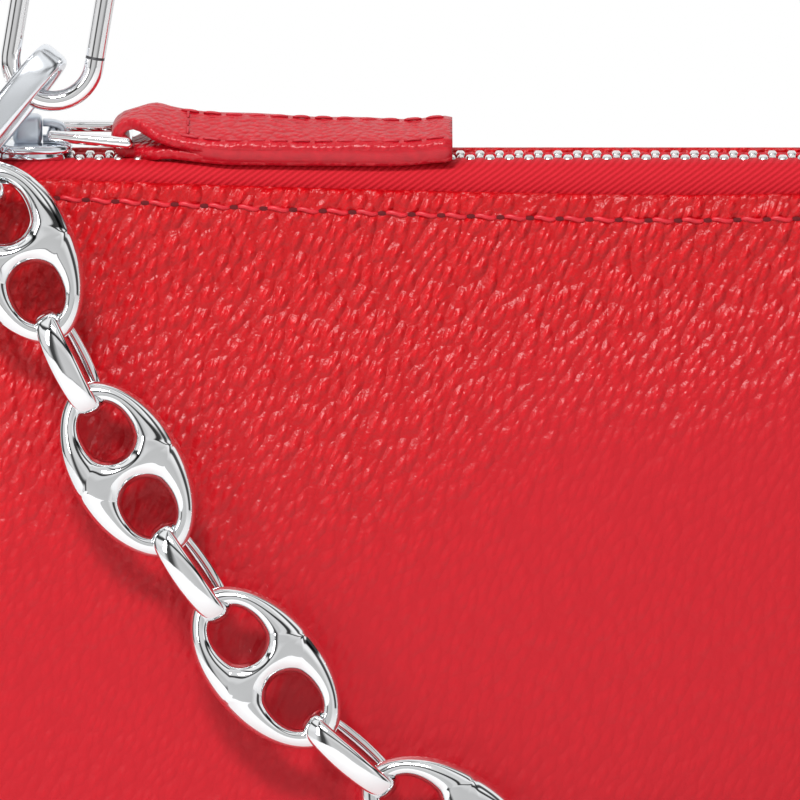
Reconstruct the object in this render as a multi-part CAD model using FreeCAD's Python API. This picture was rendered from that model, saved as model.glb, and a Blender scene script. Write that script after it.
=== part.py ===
import FreeCAD, Part
import math
import os

# Zip-top leather pouch with a boxed base, a metal zip and a draped two-part chain.
# Millimetres. Origin at the middle of the base, on the table. +X to the right, front is -Y, +Z up.

V = FreeCAD.Vector

# --- driving dimensions ---
BASE_HALF_WIDTH = 98.0      # half the width of the base
TOP_HALF_WIDTH = 90.0       # half the width at the leather's top edge
LEATHER = 1.6
LINING = 0.6
TAPE = 0.6
BOARD = 2.0
BASE_CORNER = 4.0            # the base's rounded corners, seen from below
GUSSET_DROP = 2.5            # the gussets end this far below the front's top edge
FRONT_PROFILE = [(-22.6, 0.0), (-23.5, 20.0), (-8.9, 117.0), (-6.6, 126.6)]  # outer y, z, bottom to top
BACK_PROFILE = [(22.6, 0.0), (23.5, 20.0), (9.4, 117.0), (6.6, 130.9)]

TOOTH_PITCH = 2.5
TOOTH_WIDTH = 1.12
TOOTH_LOW = 129.4
TOOTH_HIGH = 131.5
TOOTH_OUTER = 3.1
TOOTH_NOSE = 0.9
TEETH_LEFT = -84.0
TEETH_PER_SIDE = 67
TOOTH_ROUND = 0.35
STOP_GAP = 0.5               # from the last tooth to the bottom stop
STOP_LENGTH = 2.5
TOP_STOP_LEFT = -89.2
TOP_STOP_LENGTH = 0.9
TAPE_EDGE_Y = 1.0            # the tapes' inner edges, inside the teeth
TAPE_END_SETBACK = 1.8
TAPE_TOP = 130.6
TAPE_FOLD_Y = 5.0
TAPE_HIDDEN_Z = 119.0

SLIDER_LEFT = -87.1
SLIDER_LENGTH = 9.7
SLIDER_HALF_WIDTH = 4.25
PLATE = 1.0
TAPE_SLOT = 0.9
FLANGE = 1.0
WEDGE_LENGTH = 1.9           # the post that spreads the rows, half widths at each end
WEDGE_WIDE = 1.0
WEDGE_NARROW = 0.35
RUN_CLEARANCE = 0.35         # above and below the teeth
BRIDGE_WIDTH = 2.2
BRIDGE_WALL = 1.5
BRIDGE_LEFT = -85.2
BRIDGE_LENGTH = 7.2
BRIDGE_TOP = 136.7

PULL_ROLL = 10.0            # the pull lies rolled forward on the teeth
BAIL_ROD = 1.5
EYE_CLEARANCE = 0.35
TAB_WRAP = 0.75              # leather round the bail's end bar
BAIL_PIVOT = V(-80.0, 0.0, 134.3)
BAIL_END = V(-70.4, 0.0, 133.8)
BAIL_PIVOT_HALF = 2.15
BAIL_END_HALF = 3.5
TAB_LENGTH = 43.4
TAB_WIDTH = 9.0
TAB_THICKNESS = 3.2
TAB_LEFT = -72.2
TAB_EYE_LENGTH = 6.0
TAB_EYE_HEIGHT = 1.7

ROD = 2.6                   # carabiner and strap ring wire
CARABINER_Y = -6.6
CARABINER_LOW = V(-79.8, CARABINER_Y, 144.4)  # centre of the lower bend
CARABINER_RADIUS = 5.35
CARABINER_STRAIGHT = 26.0
CARABINER_TILT = 9.5
GATE_LOW = 1.3
GATE_HIGH = 22.0
GATE_CLEARANCE = 0.35
GATE_PIN_RADIUS = 0.6
GATE_TONGUE = 1.1

MARINER_LENGTH = 24.8
MARINER_WIDTH = 14.0
MARINER_PUFF = 4.4
MARINER_END_PUFF = 1.8
MARINER_END_WALL = 2.3
MARINER_HOLE_LENGTH = 7.9
MARINER_HOLE_WIDTH = 6.6
RING_LENGTH = 16.8
RING_INNER_WIDTH = 5.0
RING_WALL = 1.8
RING_BAND = 3.2
RING_ROLL = 15.0              # each ring is turned a little about its own length
RING_EDGE = 0.5
END_RING_LENGTH = 17.5        # the first and last rings also take the carabiner's link
END_RING_INNER_WIDTH = 7.6
END_RING_LEAN = 7.0
HOOK_GAP = 1.15               # clear metal gap inside the last ring, beside the strap ring
PAIR_PITCH = 30.8
CATENARY = 53.2
MARINERS = 9
CHAIN_LOW_Z = 40.4
CHAIN_STAND_OFF = 5.0

STRAP_RING_LENGTH = 9.4
STRAP_RING_REACH = 5.6       # from the last link's hook to the bar in the leather tab
STRAP_RING_DEPTH = 9.0
STRAP_RING_WIRE = 2.0
RING_TAB_WIDTH = 4.6
RING_TAB_SETBACK = 3.3       # its middle, behind the chain's hook
RING_TAB_THICKNESS = 2.4
RING_TAB_LOOP = 1.2          # leather round the bar
RING_TAB_FOOT = 104.0        # heights: sewn end, where it leaves the gusset, and its bend
RING_TAB_LEAVE = 112.0
RING_TAB_BEND = 128.0
BAR_CLEARANCE = 0.05

HINGE_GROOVE = 1.8           # length of the fork over the gate's tongue
KNUCKLE_RADIUS = 1.05
CARABINER_LINK_TOP = V(-79.2, -5.95, 145.4)
CARABINER_LINK_LENGTH = 23.3
CARABINER_LINK_SLOPE = 50.9

# --- derived places ---
FRONT_SLOPE = (FRONT_PROFILE[2][0] - FRONT_PROFILE[1][0]) / (FRONT_PROFILE[2][1] - FRONT_PROFILE[1][1])
CHAIN_LEAN = math.degrees(math.atan(FRONT_SLOPE))
WALL_TOP_Z = BACK_PROFILE[-1][1]


def save(name, shape):
    shape.exportStep("parts/" + name + ".step")
    print(name, round(shape.Volume, 1), shape.isValid())


def box(x0, y0, z0, x1, y1, z1):
    return Part.makeBox(x1 - x0, y1 - y0, z1 - z0, V(x0, y0, z0))


def rod(start, end, diameter):
    axis = end - start
    return Part.makeCylinder(diameter / 2, axis.Length, start, axis)


def capped_rod(start, end, diameter):
    shape = rod(start, end, diameter)
    for point in (start, end):
        shape = shape.fuse(Part.makeSphere(diameter / 2, point))
    return shape


def prism(points, direction):
    """A polygon of 3-D points, pushed along a vector."""
    return Part.Face(Part.makePolygon(points + points[:1])).extrude(direction)


def mirror_x(shape):
    return shape.mirror(V(0, 0, 0), V(1, 0, 0))


def half_width(z):
    return BASE_HALF_WIDTH + (TOP_HALF_WIDTH - BASE_HALF_WIDTH) * z / FRONT_PROFILE[-1][1]


def trapezoid(inset, low, high):
    """The bag's front outline, shrunk by inset at each side, as a deep block."""
    corners = [(-half_width(low) + inset, low), (half_width(low) - inset, low)]
    corners += [(half_width(high) - inset, high), (-half_width(high) + inset, high)]
    return prism([V(x, -60, z) for x, z in corners], V(0, 120, 0))


def offset_profile(profile, distance):
    """Moves a bottom-to-top profile towards the bag's middle, with mitred corners."""
    side = 1.0 if profile[0][0] < 0 else -1.0
    normals = []
    for (y0, z0), (y1, z1) in zip(profile, profile[1:]):
        length = math.hypot(y1 - y0, z1 - z0)
        normals.append((side * abs(z1 - z0) / length, -side * (y1 - y0) / length))
    moved = []
    for index, (y, z) in enumerate(profile):
        first = normals[max(index - 1, 0)]
        second = normals[min(index, len(normals) - 1)]
        mix = 1 + first[0] * second[0] + first[1] * second[1]
        reach = distance / mix
        moved.append((y + reach * (first[0] + second[0]), z + reach * (first[1] + second[1])))
    return moved


def wall(profile, outer, inner, low):
    """A sheet between two offsets of a profile, over the whole width, above the height low."""
    outline = offset_profile(profile, outer) + offset_profile(profile, inner)[::-1]
    sheet = prism([V(-120, y, z) for y, z in outline], V(240, 0, 0))
    return sheet.common(trapezoid(outer, low, WALL_TOP_Z + 1))


def inside_section(depth, low, high):
    """The space between the front and back walls, depth inside their outer faces."""
    front = offset_profile(FRONT_PROFILE, depth)
    back = offset_profile(BACK_PROFILE, depth)
    block = prism([V(-120, y, z) for y, z in front + back[::-1]], V(240, 0, 0))
    return block.common(box(-120, -60, low, 120, 60, high))


def gusset(outer, inner, low, high):
    """The left end sheet, between the front and back sheets of the same layer."""
    span = inside_section(inner, low, high).common(trapezoid(outer, 0, WALL_TOP_Z + 1))
    ends = span.cut(trapezoid(inner, 0, WALL_TOP_Z + 1))
    return ends.common(box(-120, -60, 0, 0, 60, 160))


# --- leather body ---
def body_panels():
    top = FRONT_PROFILE[-1][1] - GUSSET_DROP
    save("front_panel", wall(FRONT_PROFILE, 0, LEATHER, LEATHER))
    save("back_panel", wall(BACK_PROFILE, 0, LEATHER, LEATHER))
    side = gusset(0, LEATHER, LEATHER, top)
    save("side_gusset_left", side)
    save("side_gusset_right", mirror_x(side))
    base_y = -FRONT_PROFILE[0][0]
    base = box(-BASE_HALF_WIDTH, -base_y, 0, BASE_HALF_WIDTH, base_y, LEATHER)
    upright = [edge for edge in base.Edges if abs(edge.Vertexes[0].Z - edge.Vertexes[1].Z) > 1]
    save("base_panel", base.makeFillet(BASE_CORNER, upright).common(trapezoid(0, 0, 10)))


def lining_and_board():
    depth = LEATHER + LINING
    floor = LEATHER + BOARD
    top = FRONT_PROFILE[-1][1] - 4.0
    tape_foot = TAPE_HIDDEN_Z - 0.5
    board = inside_section(LEATHER + 0.4, LEATHER, floor).common(trapezoid(LEATHER + 0.4, 0, 20))
    save("base_board", board)
    upper = box(-120, -60, 0, 120, 60, tape_foot)
    save("lining_front", wall(FRONT_PROFILE, LEATHER, depth, floor).common(upper))
    save("lining_back", wall(BACK_PROFILE, LEATHER, depth, floor).common(upper))
    side = gusset(LEATHER, depth, floor, top)
    save("lining_side_left", side.common(upper))
    save("lining_side_right", mirror_x(side.common(upper)))
    save("lining_base", inside_section(depth, floor, floor + LINING).common(trapezoid(depth, 0, 20)))
    pocket = wall(BACK_PROFILE, depth, depth + 1.0, 30).common(box(-55, -60, 38, 55, 60, 96))
    save("slip_pocket", pocket)


# --- zip ---
def tape(profile):
    side = -1.0 if profile[0][0] < 0 else 1.0
    inner = offset_profile(profile, LEATHER + 0.05)
    fold = (side * TAPE_FOLD_Y, TAPE_TOP)
    top_y, top_z = inner[-1]
    under, low = inner[-2]
    under_y = under + (top_y - under) * (TAPE_HIDDEN_Z - low) / (top_z - low)
    if side < 0:
        outline = [(side * TAPE_EDGE_Y, TAPE_TOP), fold, (top_y, top_z), (under_y, TAPE_HIDDEN_Z)]
        outline += [(under_y + TAPE, TAPE_HIDDEN_Z), (top_y + TAPE, top_z)]
        outline += [(fold[0] + TAPE, TAPE_TOP - TAPE), (side * TAPE_EDGE_Y, TAPE_TOP - TAPE)]
    else:
        outline = [(side * TAPE_EDGE_Y, TAPE_TOP), (top_y, TAPE_TOP), (under_y, TAPE_HIDDEN_Z)]
        outline += [(under_y - TAPE, TAPE_HIDDEN_Z), (top_y - TAPE, TAPE_TOP - TAPE)]
        outline += [(side * TAPE_EDGE_Y, TAPE_TOP - TAPE)]
    reach = TOP_HALF_WIDTH - TAPE_END_SETBACK
    return prism([V(-reach, y, z) for y, z in outline], V(2 * reach, 0, 0))


def tooth(x, side):
    """One metal tooth: a rounded block with a narrower nose that locks between its neighbours."""
    low, high = sorted((side * TOOTH_OUTER, -side * TOOTH_NOSE))
    block = box(x - TOOTH_WIDTH / 2, low, TOOTH_LOW, x + TOOTH_WIDTH / 2, high, TOOTH_HIGH)
    outer_y = side * TOOTH_OUTER
    edges = []
    for edge in block.Edges:
        ends = [vertex.Point for vertex in edge.Vertexes]
        if all(abs(point.y - outer_y) < 0.01 for point in ends) and abs(ends[0].z - ends[1].z) > 1:
            edges.append(edge)
    return block.makeFillet(TOOTH_ROUND, edges)


def zip_teeth():
    slot = box(-120, -6, TAPE_TOP - TAPE - 0.02, 120, 6, TAPE_TOP + 0.02)
    for name, side in (("front", -1), ("back", 1)):
        shift = 0.0 if side < 0 else TOOTH_PITCH / 2
        row = [tooth(TEETH_LEFT + shift + index * TOOTH_PITCH, side) for index in range(TEETH_PER_SIDE)]
        edge_y = sorted((side * TAPE_EDGE_Y, side * 6.0))
        gap = slot.common(box(-120, edge_y[0], 120, 120, edge_y[1], 140))
        save("zip_teeth_" + name, Part.makeCompound([item.cut(gap) for item in row]))


def zip_stops():
    end = TEETH_LEFT + TEETH_PER_SIDE * TOOTH_PITCH
    start = end + STOP_GAP
    stop = box(start, -TOOTH_OUTER, TAPE_TOP, start + STOP_LENGTH, TOOTH_OUTER, TOOTH_HIGH)
    save("zip_bottom_stop", stop.makeFillet(0.25, stop.Edges))
    pair = []
    for side in (-1, 1):
        near, far = sorted((side * 0.3, side * 1.4))
        clip = box(TOP_STOP_LEFT, near, TAPE_TOP, TOP_STOP_LEFT + TOP_STOP_LENGTH, far, TOOTH_HIGH)
        pair.append(clip.makeFillet(0.2, clip.Edges))
    save("zip_top_stops", Part.makeCompound(pair))


def slider():
    x0 = SLIDER_LEFT
    x1 = SLIDER_LEFT + SLIDER_LENGTH
    half = SLIDER_HALF_WIDTH
    roof = TOOTH_HIGH + RUN_CLEARANCE
    floor = TOOTH_LOW - RUN_CLEARANCE
    slot_low = TAPE_TOP - TAPE / 2 - TAPE_SLOT / 2
    slot_high = slot_low + TAPE_SLOT
    outline = [(x0, half - 0.6), (x0 + 2.0, half), (x1 - 2.5, half - 0.2), (x1, half - 1.0)]
    outline += [(x, -y) for x, y in outline[::-1]]
    block = prism([V(x, y, floor - PLATE) for x, y in outline], V(0, 0, roof + PLATE - floor + PLATE))
    upright = [edge for edge in block.Edges if abs(edge.Vertexes[0].Z - edge.Vertexes[1].Z) > 1]
    block = block.makeFillet(0.8, upright)
    channel = box(x0 - 1, -half + FLANGE, floor, x1 + 1, half - FLANGE, roof)
    slots = box(x0 - 1, -half - 1, slot_low, x1 + 1, half + 1, slot_high)
    block = block.cut(channel).cut(slots)
    tip = x0 + WEDGE_LENGTH
    corners = [V(x0, -WEDGE_WIDE, floor), V(x0, WEDGE_WIDE, floor)]
    corners += [V(tip, WEDGE_NARROW, floor), V(tip, -WEDGE_NARROW, floor)]
    wedge = prism(corners, V(0, 0, roof - floor))
    save("slider_body", block.fuse(wedge))
    bridge_x1 = BRIDGE_LEFT + BRIDGE_LENGTH
    low = roof + PLATE
    arch = box(BRIDGE_LEFT, -BRIDGE_WIDTH / 2, low, bridge_x1, BRIDGE_WIDTH / 2, BRIDGE_TOP)
    top_edges = []
    for edge in arch.Edges:
        points = [vertex.Point for vertex in edge.Vertexes]
        if abs(points[0].y - points[1].y) > 1 and points[0].z > BRIDGE_TOP - 0.1:
            top_edges.append(edge)
    arch = arch.makeFillet(1.6, top_edges)
    tunnel_end = bridge_x1 - BRIDGE_WALL * 0.6
    tunnel_top = BRIDGE_TOP - BRIDGE_WALL * 0.8
    tunnel = box(BRIDGE_LEFT + BRIDGE_WALL, -5, low, tunnel_end, 5, tunnel_top)
    save("slider_bridge", arch.cut(tunnel))


def pull():
    corners = []
    for sign in (-1, 1):
        corners.append(BAIL_PIVOT + V(0, sign * BAIL_PIVOT_HALF, 0))
        corners.append(BAIL_END + V(0, sign * BAIL_END_HALF, 0))
    front_pivot, front_end, back_pivot, back_end = corners
    bail = capped_rod(front_pivot, front_end, BAIL_ROD)
    for start, end in ((front_end, back_end), (back_end, back_pivot), (back_pivot, front_pivot)):
        bail = bail.fuse(capped_rod(start, end, BAIL_ROD))
    low = BAIL_END.z - TAB_THICKNESS / 2
    x1 = TAB_LEFT + TAB_LENGTH
    half = TAB_WIDTH / 2
    tab = box(TAB_LEFT, -half, low, x1, half, low + TAB_THICKNESS)
    end_edges = []
    for edge in tab.Edges:
        points = [vertex.Point for vertex in edge.Vertexes]
        if abs(points[0].z - points[1].z) > 1 and points[0].x > 0.5 * (TAB_LEFT + x1):
            end_edges.append(edge)
    tab = tab.makeFillet(1.5, end_edges)
    eye_left = TAB_LEFT + TAB_WRAP
    eye = box(eye_left, -half - 1, BAIL_END.z - TAB_EYE_HEIGHT / 2,
              eye_left + TAB_EYE_LENGTH, half + 1, BAIL_END.z + TAB_EYE_HEIGHT / 2)
    arms = box(BAIL_PIVOT.x, -half, low - 1, BAIL_END.x + BAIL_ROD, half, low + TAB_THICKNESS + 1)
    tab = tab.cut(eye)
    between_arms = BAIL_END_HALF - BAIL_ROD / 2 - EYE_CLEARANCE
    slit = arms.cut(box(-200, -between_arms, 0, 200, between_arms, 200))
    tab = tab.cut(slit)
    for shape in (bail, tab):
        shape.rotate(BAIL_PIVOT, V(1, 0, 0), PULL_ROLL)
    save("pull_bail", bail)
    save("pull_tab", tab)


# --- chain ---
def puffed_link():
    """A flat-lying oval link along X with two holes, thick in the middle and thin at its ends."""
    outline = Part.Ellipse(V(0, 0, 0), MARINER_LENGTH / 2, MARINER_WIDTH / 2).toShape()
    shape = Part.Face(Part.Wire([outline])).extrude(V(0, 0, MARINER_PUFF))
    shape.translate(V(0, 0, -MARINER_PUFF / 2))
    reach = MARINER_LENGTH / 2
    middle, end = MARINER_PUFF / 2, MARINER_END_PUFF / 2
    top = Part.Arc(V(-reach, 0, end), V(0, 0, middle), V(reach, 0, end)).toShape()
    bottom = Part.Arc(V(reach, 0, -end), V(0, 0, -middle), V(-reach, 0, -end)).toShape()
    caps = [Part.LineSegment(V(side * reach, 0, side * end), V(side * reach, 0, -side * end)).toShape()
            for side in (1, -1)]
    lens = Part.Face(Part.Wire([top, caps[0], bottom, caps[1]])).extrude(V(0, MARINER_WIDTH, 0))
    lens.translate(V(0, -MARINER_WIDTH / 2, 0))
    shape = shape.common(lens)
    hole_radius = MARINER_HOLE_WIDTH / 2
    hole_end = MARINER_LENGTH / 2 - MARINER_END_WALL
    for side in (-1, 1):
        far = side * (hole_end - hole_radius)
        near = side * (hole_end - MARINER_HOLE_LENGTH + hole_radius)
        low, high = sorted((near, far))
        hole = box(low, -hole_radius, -5, high, hole_radius, 5)
        for x in (low, high):
            hole = hole.fuse(Part.makeCylinder(hole_radius, 10, V(x, 0, -5)))
        shape = shape.cut(hole)
    return shape


def stadium(length, width, depth):
    """A long rounded block: length along X, width along Z, pushed along Y about its middle."""
    radius = width / 2
    reach = length / 2 - radius
    block = box(-reach, -depth / 2, -radius, reach, depth / 2, radius)
    for x in (-reach, reach):
        block = block.fuse(Part.makeCylinder(radius, depth, V(x, -depth / 2, 0), V(0, 1, 0)))
    return block.removeSplitter()


def band_ring(length, inner_width=RING_INNER_WIDTH):
    """A narrow oval band standing on edge: its length along X, its opening along Y."""
    outer = stadium(length, inner_width + 2 * RING_WALL, RING_BAND)
    rims = [edge for edge in outer.Edges if abs(edge.BoundBox.YLength) < 0.01]
    outer = outer.makeFillet(RING_EDGE, rims)
    return outer.cut(stadium(length - 2 * RING_WALL, inner_width, RING_BAND + 2))


def lay_in_chain(shape, arc):
    """Places a link, made along X and facing +Z, at an arc length along the hanging curve."""
    x = CATENARY * math.asinh(arc / CATENARY)
    height = math.sqrt(CATENARY ** 2 + arc ** 2) - CATENARY
    angle = math.degrees(math.atan(arc / CATENARY))
    shape = shape.copy()
    shape.rotate(V(0, 0, 0), V(0, 0, 1), angle)
    shape.translate(V(x, height, 0))
    shape.rotate(V(0, 0, 0), V(1, 0, 0), 90 - CHAIN_LEAN)
    shape.translate(chain_low_point())
    return shape


def chain_low_point():
    rise = CHAIN_LOW_Z - FRONT_PROFILE[1][1]
    y = FRONT_PROFILE[1][0] + FRONT_SLOPE * rise - CHAIN_STAND_OFF / math.cos(math.radians(CHAIN_LEAN))
    return V(0, y, CHAIN_LOW_Z)


def end_ring_frame(shape):
    """Leans the last ring outwards about its lower end, before it is laid in the chain."""
    shape = shape.copy()
    shape.rotate(V(-END_RING_LENGTH / 2, 0, 0), V(0, 0, 1), -END_RING_LEAN)
    return lay_in_chain(shape, (MARINERS / 2) * PAIR_PITCH)


def hook_point():
    """The middle of the right strap ring's front bar, inside the top of the last ring link."""
    reach = END_RING_LENGTH / 2 - RING_WALL - STRAP_RING_WIRE / 2 - HOOK_GAP
    return end_ring_frame(Part.Vertex(V(reach, 0, 0))).Point


def chain():
    """The right half is laid out from the lowest link, and the left half mirrors it."""
    link = puffed_link()
    ring = band_ring(RING_LENGTH)
    ring.rotate(V(0, 0, 0), V(1, 0, 0), RING_ROLL)
    middle = (MARINERS + 1) // 2
    save("mariner_link_%d" % middle, lay_in_chain(link, 0))
    for step in range(1, middle):
        placed = lay_in_chain(link, step * PAIR_PITCH)
        save("mariner_link_%d" % (middle + step), placed)
        save("mariner_link_%d" % (middle - step), mirror_x(placed))
    for step in range(middle):
        placed = lay_in_chain(ring, (step + 0.5) * PAIR_PITCH)
        if step == middle - 1:
            placed = end_ring_frame(band_ring(END_RING_LENGTH, END_RING_INNER_WIDTH))
        save("ring_link_%d" % (middle + step + 1), placed)
        save("ring_link_%d" % (middle - step), mirror_x(placed))


def strap_rings():
    hook = hook_point()
    x_out = hook.x + STRAP_RING_REACH
    x_in = x_out - STRAP_RING_LENGTH
    y_back = hook.y + STRAP_RING_DEPTH
    corners = [V(x_in, hook.y, hook.z), V(x_out, hook.y, hook.z)]
    corners += [V(x_out, y_back, hook.z), V(x_in, y_back, hook.z)]
    ring = capped_rod(corners[0], corners[1], STRAP_RING_WIRE)
    for start, end in ((corners[1], corners[2]), (corners[2], corners[3]), (corners[3], corners[0])):
        ring = ring.fuse(capped_rod(start, end, STRAP_RING_WIRE))
    save("strap_ring_right", ring)
    save("strap_ring_left", mirror_x(ring))
    y0 = hook.y + RING_TAB_SETBACK - RING_TAB_WIDTH / 2
    foot = (half_width(RING_TAB_FOOT), RING_TAB_FOOT)
    leave = (half_width(RING_TAB_LEAVE), RING_TAB_LEAVE)
    bend_x = x_out - 0.4
    outline = [foot, (foot[0] + RING_TAB_THICKNESS, foot[1]), (leave[0] + RING_TAB_THICKNESS, leave[1])]
    outline += [(bend_x, RING_TAB_BEND), (x_out + 1.6, hook.z - 1.2), (x_out - 1.6, hook.z - 0.2)]
    outline += [(bend_x - RING_TAB_THICKNESS, RING_TAB_BEND), leave]
    strap = prism([V(x, y0, z) for x, z in outline], V(0, RING_TAB_WIDTH, 0))
    start = V(x_out, y0, hook.z)
    loop = Part.makeCylinder(STRAP_RING_WIRE / 2 + RING_TAB_LOOP, RING_TAB_WIDTH, start, V(0, 1, 0))
    bore = Part.makeCylinder(STRAP_RING_WIRE / 2 + BAR_CLEARANCE, RING_TAB_WIDTH, start, V(0, 1, 0))
    tab = strap.fuse(loop).cut(bore)
    save("ring_tab_right", tab)
    save("ring_tab_left", mirror_x(tab))


# --- carabiner ---
def carabiner_frame(along, across):
    """A point of the carabiner: along its length from the lower bend's centre, and across it."""
    tilt = math.radians(CARABINER_TILT)
    up = V(math.sin(tilt), 0, math.cos(tilt))
    side = V(math.cos(tilt), 0, -math.sin(tilt))
    return CARABINER_LOW + up * along + side * across


def bend(centre_along, outward):
    middle = carabiner_frame(centre_along + outward * CARABINER_RADIUS, 0)
    start = carabiner_frame(centre_along, -CARABINER_RADIUS)
    end = carabiner_frame(centre_along, CARABINER_RADIUS)
    path = Part.Wire([Part.Arc(start, middle, end).toShape()])
    direction = carabiner_frame(1, 0) - carabiner_frame(0, 0)
    ring = Part.Wire([Part.makeCircle(ROD / 2, start, direction)])
    return path.makePipe(Part.Face(ring))


def carabiner():
    r = CARABINER_RADIUS
    body = bend(0, -1).fuse(bend(CARABINER_STRAIGHT, 1))
    body = body.fuse(rod(carabiner_frame(0, -r), carabiner_frame(CARABINER_STRAIGHT, -r), ROD))
    body = body.fuse(rod(carabiner_frame(0, r), carabiner_frame(GATE_LOW - GATE_CLEARANCE, r), ROD))
    fork_low = GATE_HIGH - HINGE_GROOVE
    body = body.fuse(rod(carabiner_frame(GATE_HIGH, r), carabiner_frame(CARABINER_STRAIGHT, r), ROD))
    fork = rod(carabiner_frame(fork_low, r), carabiner_frame(GATE_HIGH + 0.1, r), ROD)
    y_mid = CARABINER_Y
    tongue_slot = box(-120, y_mid - GATE_TONGUE / 2 - 0.1, 100, 0, y_mid + GATE_TONGUE / 2 + 0.1, 200)
    reach = carabiner_frame(fork_low, r).z - 1.0
    fork = fork.cut(tongue_slot.common(box(-120, -60, reach, 0, 60, 200)))
    body = body.fuse(fork)
    notch_top = rod(carabiner_frame(GATE_HIGH - 0.1, r), carabiner_frame(GATE_HIGH + 1.6, r), ROD + 1)
    body = body.cut(notch_top.common(tongue_slot))
    pin_at = carabiner_frame(GATE_HIGH - 0.2, r)
    pin = Part.makeCylinder(GATE_PIN_RADIUS, ROD, V(pin_at.x, y_mid - ROD / 2, pin_at.z), V(0, 1, 0))
    body = body.cut(pin)
    gate = rod(carabiner_frame(GATE_LOW, r), carabiner_frame(fork_low - GATE_CLEARANCE - 0.6, r), ROD)
    tongue = rod(carabiner_frame(fork_low - 2.0, r), pin_at, ROD - 0.5)
    knuckle = Part.makeCylinder(KNUCKLE_RADIUS, 10, V(pin_at.x, y_mid - 5, pin_at.z), V(0, 1, 0))
    plate = box(-120, y_mid - GATE_TONGUE / 2, 100, 0, y_mid + GATE_TONGUE / 2, 200)
    tongue = tongue.fuse(knuckle).common(plate)
    hole = Part.makeCylinder(GATE_PIN_RADIUS + 0.05, 10, V(pin_at.x, y_mid - 5, pin_at.z), V(0, 1, 0))
    gate = gate.fuse(tongue).cut(hole)
    save("carabiner_body", body.removeSplitter())
    save("carabiner_gate", gate)
    save("gate_pin", pin)
    link = band_ring(CARABINER_LINK_LENGTH)
    link.rotate(V(0, 0, 0), V(1, 0, 0), 90)
    link.rotate(V(0, 0, 0), V(0, 1, 0), -CARABINER_LINK_SLOPE)
    slope = math.radians(CARABINER_LINK_SLOPE)
    direction = V(math.cos(slope), 0, math.sin(slope))
    link.translate(CARABINER_LINK_TOP - direction * (CARABINER_LINK_LENGTH / 2))
    save("carabiner_link", link)


os.makedirs("parts", exist_ok=True)
body_panels()
lining_and_board()
save("zip_tape_front", tape(FRONT_PROFILE))
save("zip_tape_back", tape(BACK_PROFILE))
zip_teeth()
zip_stops()
slider()
pull()
chain()
strap_rings()
carabiner()
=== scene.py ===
import math

import bpy
from mathutils import Matrix, Vector


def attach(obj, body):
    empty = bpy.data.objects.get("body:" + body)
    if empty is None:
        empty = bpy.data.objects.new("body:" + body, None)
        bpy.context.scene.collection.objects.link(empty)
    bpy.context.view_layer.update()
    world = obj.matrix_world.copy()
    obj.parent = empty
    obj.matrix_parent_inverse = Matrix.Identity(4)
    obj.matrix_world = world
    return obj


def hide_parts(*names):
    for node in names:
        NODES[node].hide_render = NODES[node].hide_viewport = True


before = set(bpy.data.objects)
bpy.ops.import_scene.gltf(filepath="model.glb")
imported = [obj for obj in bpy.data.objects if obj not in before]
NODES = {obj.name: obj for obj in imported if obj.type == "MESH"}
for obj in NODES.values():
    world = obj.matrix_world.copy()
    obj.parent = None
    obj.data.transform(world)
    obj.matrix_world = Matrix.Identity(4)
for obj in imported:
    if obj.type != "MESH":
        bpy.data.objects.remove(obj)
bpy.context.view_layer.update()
MM = 0.001

# Shapes are worked out in millimetres in the frame's own axes. Looks, lights and the camera are in metres.


# ---------------------------------------------------------------- numbers
def clamp(value, low, high):
    return max(low, min(high, value))


def smooth(low, high, value):
    """0 below low, 1 above high, and a soft step between them."""
    t = clamp((value - low) / (high - low), 0.0, 1.0)
    return t * t * (3 - 2 * t)


def signed_power(value, power):
    """The size of value to a power, with its sign kept. A power below 1 squares a circle up."""
    return math.copysign(abs(value) ** power, value)


def circle_angle(k, count, phase=0.0):
    return 2 * math.pi * (k + phase) / count


def through(points, at):
    """The value at a place on a smooth curve through (place, value) points, by monotone cubic pieces."""
    slopes = [(v1 - v0) / (p1 - p0) for (p0, v0), (p1, v1) in zip(points, points[1:])]
    tangents = [slopes[0]]
    for before, after in zip(slopes, slopes[1:]):
        tangents.append(0.0 if before * after <= 0 else 2 * before * after / (before + after))
    tangents.append(slopes[-1])
    if at <= points[0][0]:
        return points[0][1] + (at - points[0][0]) * slopes[0]
    if at >= points[-1][0]:
        return points[-1][1] + (at - points[-1][0]) * slopes[-1]
    piece = next(i for i in range(len(slopes)) if at <= points[i + 1][0])
    (start, value), (end, next_value) = points[piece:piece + 2]
    span = end - start
    t = (at - start) / span
    return ((1 + 2 * t) * (1 - t) ** 2 * value + t * (1 - t) ** 2 * span * tangents[piece]
            + t * t * (3 - 2 * t) * next_value + t * t * (t - 1) * span * tangents[piece + 1])


def neighbours(path, i):
    """The points before and after point i of an open path, or point i itself at an end."""
    return path[max(i - 1, 0)], path[min(i + 1, len(path) - 1)]


# ---------------------------------------------------------------- meshes
def make_object(name, verts, faces, material):
    """A mesh object from millimetre points."""
    mesh = bpy.data.meshes.new(name)
    mesh.from_pydata([(x * MM, y * MM, z * MM) for x, y, z in verts], [], faces)
    mesh.validate()
    mesh.update()
    mesh.polygons.foreach_set("use_smooth", [True] * len(mesh.polygons))
    obj = bpy.data.objects.new(name, mesh)
    bpy.context.scene.collection.objects.link(obj)
    mesh.materials.append(material)
    return obj


def finish_piece(obj, body, slot, *replaced):
    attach(obj, body)
    if replaced:
        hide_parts(*replaced)


def grid_faces(rows, columns, closed, offset=0):
    """Faces between rows of points. A closed grid also joins each row's last point to its first."""
    faces = []
    span = columns if closed else columns - 1
    for r in range(rows - 1):
        for c in range(span):
            a = offset + r * columns + c
            b = offset + r * columns + (c + 1) % columns
            faces.append((a, b, b + columns, a + columns))
    return faces


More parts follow.
